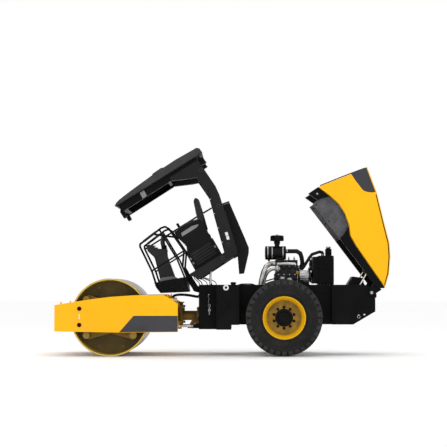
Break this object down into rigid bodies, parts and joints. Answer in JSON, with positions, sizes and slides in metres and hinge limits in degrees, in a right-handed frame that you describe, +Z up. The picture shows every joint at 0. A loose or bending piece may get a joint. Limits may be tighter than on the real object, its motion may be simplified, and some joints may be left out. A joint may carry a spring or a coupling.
{
  "type": "single-drum road roller",
  "caption": "Single-drum soil compactor with smooth steel drum, articulated frame, open canopy platform tilted forward for service and rear engine hood raised.",
  "frame": {"origin": "centre of the footprint on the ground, at the middle of the overall length and width", "axes": "+X along the machine towards the engine end, -X towards the drum, +Y to the machine's right side, +Z up"},
  "size_m": [5.2772, 1.858, 3.2768],
  "materials": {
    "yellow_paint": "gloss",
    "black_paint": "satin",
    "grey_paint": "satin",
    "grey_plastic": "matte",
    "black_plastic": "matte",
    "tyre_rubber": "matte",
    "hose_rubber": "matte",
    "seat_vinyl": "matte",
    "drum_steel": "worn",
    "bright_steel": "polished",
    "cast_iron": "rough"
  },
  "bodies": {
    "rear_body": {"rear_frame": "black_paint", "hydraulic_tank": "black_paint", "fuel_tank": "black_paint", "tail_frame": "black_paint", "battery_box": "black_paint", "rear_axle": "black_paint", "engine": "cast_iron", "air_cleaner": "black_paint", "intake_hose": "hose_rubber", "exhaust_pipe": "bright_steel", "radiator": "black_paint", "radiator_hose": "hose_rubber", "centre_joint": "yellow_paint", "steering_cylinder_left_barrel": "black_paint", "steering_cylinder_right_barrel": "black_paint"},
    "front_body": {"drum_frame": "yellow_paint", "pivot_yoke": "yellow_paint", "drum_support_left": "yellow_paint", "drum_support_right": "yellow_paint", "scraper_front": "black_paint", "scraper_rear": "black_paint"},
    "drum": {"drum_shell": "drum_steel"},
    "left_wheel": {"tyre_left": "tyre_rubber", "rim_left": "yellow_paint", "hub_left": "black_paint"},
    "right_wheel": {"tyre_right": "tyre_rubber", "rim_right": "yellow_paint", "hub_right": "black_paint"},
    "platform": {"platform_floor": "black_paint", "rops_frame": "grey_paint", "rear_bulkhead": "black_paint", "steering_console": "grey_plastic", "canopy_roof": "grey_plastic", "roof_frame": "black_paint", "front_lamps": "black_plastic", "rear_lamps": "black_plastic", "handrail_left": "black_paint", "handrail_right": "black_paint", "seat_pedestal": "grey_plastic", "seat_cushion": "seat_vinyl", "seat_back": "seat_vinyl", "travel_lever": "black_plastic"},
    "steering_wheel_body": {"steering_wheel": "black_plastic"},
    "hood": {"hood_shell": "yellow_paint", "hood_frame": "black_paint", "hood_liner_left": "grey_plastic", "hood_liner_right": "grey_plastic"},
    "steering_rod_left": {"steering_cylinder_left_rod": "bright_steel"},
    "steering_rod_right": {"steering_cylinder_right_rod": "bright_steel"},
    "tilt_barrel": {"tilt_cylinder_barrel": "black_paint"},
    "tilt_rod": {"tilt_cylinder_rod": "bright_steel"},
    "hood_barrel_left": {"hood_strut_left_barrel": "black_paint"},
    "hood_rod_left": {"hood_strut_left_rod": "bright_steel"},
    "hood_barrel_right": {"hood_strut_right_barrel": "black_paint"},
    "hood_rod_right": {"hood_strut_right_rod": "bright_steel"}
  },
  "joints": [
    {"name": "steering", "type": "hinge", "parent": "rear_body", "child": "front_body", "pos_m": [-0.665, 0, 0.626], "axis": [0, 0, 1], "range_deg": [-38, 38]},
    {"name": "drum_roll", "type": "hinge", "parent": "front_body", "child": "drum", "pos_m": [-1.757, 0, 0.60926], "axis": [0, 1, 0], "continuous": true},
    {"name": "left_wheel_roll", "type": "hinge", "parent": "rear_body", "child": "left_wheel", "pos_m": [0.972, -0.74, 0.60371], "axis": [0, 1, 0], "continuous": true},
    {"name": "right_wheel_roll", "type": "hinge", "parent": "rear_body", "child": "right_wheel", "pos_m": [0.972, 0.74, 0.60371], "axis": [0, 1, 0], "continuous": true},
    {"name": "platform_tilt", "type": "hinge", "parent": "rear_body", "child": "platform", "pos_m": [-0.425, 0, 1.052], "axis": [0, 1, 0], "range_deg": [0, 32]},
    {"name": "steering_wheel_turn", "type": "hinge", "parent": "platform", "child": "steering_wheel_body", "pos_m": [-0.95942, 0, 1.90726], "axis": [0.1358, 0, 0.9907], "continuous": true},
    {"name": "hood_lift", "type": "hinge", "parent": "rear_body", "child": "hood", "pos_m": [2.359, 0, 0.997], "axis": [0, 1, 0], "range_deg": [-52, 0]},
    {"name": "steering_rod_left_slide", "type": "slide", "parent": "rear_body", "child": "steering_rod_left", "axis": [-0.995, 0.1003, 0], "range_m": [-0.126, 0.126]},
    {"name": "steering_rod_right_slide", "type": "slide", "parent": "rear_body", "child": "steering_rod_right", "axis": [-0.995, -0.1003, 0], "range_m": [-0.126, 0.126]},
    {"name": "tilt_cylinder_swing", "type": "hinge", "parent": "rear_body", "child": "tilt_barrel", "pos_m": [-0.2, -0.2, 0.66], "axis": [0, 1, 0], "range_deg": [-0.1, 13.97]},
    {"name": "tilt_rod_slide", "type": "slide", "parent": "tilt_barrel", "child": "tilt_rod", "axis": [0.0162, 0, 0.9999], "range_m": [-0.1554, 0.001]},
    {"name": "hood_strut_left_swing", "type": "hinge", "parent": "rear_body", "child": "hood_barrel_left", "pos_m": [1.95, -0.47, 0.72], "axis": [0, 1, 0], "range_deg": [-17.21, 0.1]},
    {"name": "hood_rod_left_slide", "type": "slide", "parent": "hood_barrel_left", "child": "hood_rod_left", "axis": [0.5084, 0, 0.8611], "range_m": [-0.2541, 0.001]},
    {"name": "hood_strut_right_swing", "type": "hinge", "parent": "rear_body", "child": "hood_barrel_right", "pos_m": [1.95, 0.47, 0.72], "axis": [0, 1, 0], "range_deg": [-17.21, 0.1]},
    {"name": "hood_rod_right_slide", "type": "slide", "parent": "hood_barrel_right", "child": "hood_rod_right", "axis": [0.5084, 0, 0.8611], "range_m": [-0.2541, 0.001]}
  ],
  "couplings": [
    {"joint": "steering_rod_left_slide", "follows": "steering", "m_per_rad": -0.18848},
    {"joint": "steering_rod_right_slide", "follows": "steering", "m_per_rad": 0.18848},
    {"joint": "tilt_cylinder_swing", "follows": "platform_tilt", "ratio": 0.43332},
    {"joint": "tilt_rod_slide", "follows": "platform_tilt", "m_per_rad": -0.27639},
    {"joint": "hood_strut_left_swing", "follows": "hood_lift", "ratio": 0.32896},
    {"joint": "hood_rod_left_slide", "follows": "hood_lift", "m_per_rad": 0.27892},
    {"joint": "hood_strut_right_swing", "follows": "hood_lift", "ratio": 0.32896},
    {"joint": "hood_rod_right_slide", "follows": "hood_lift", "m_per_rad": 0.27892}
  ]
}
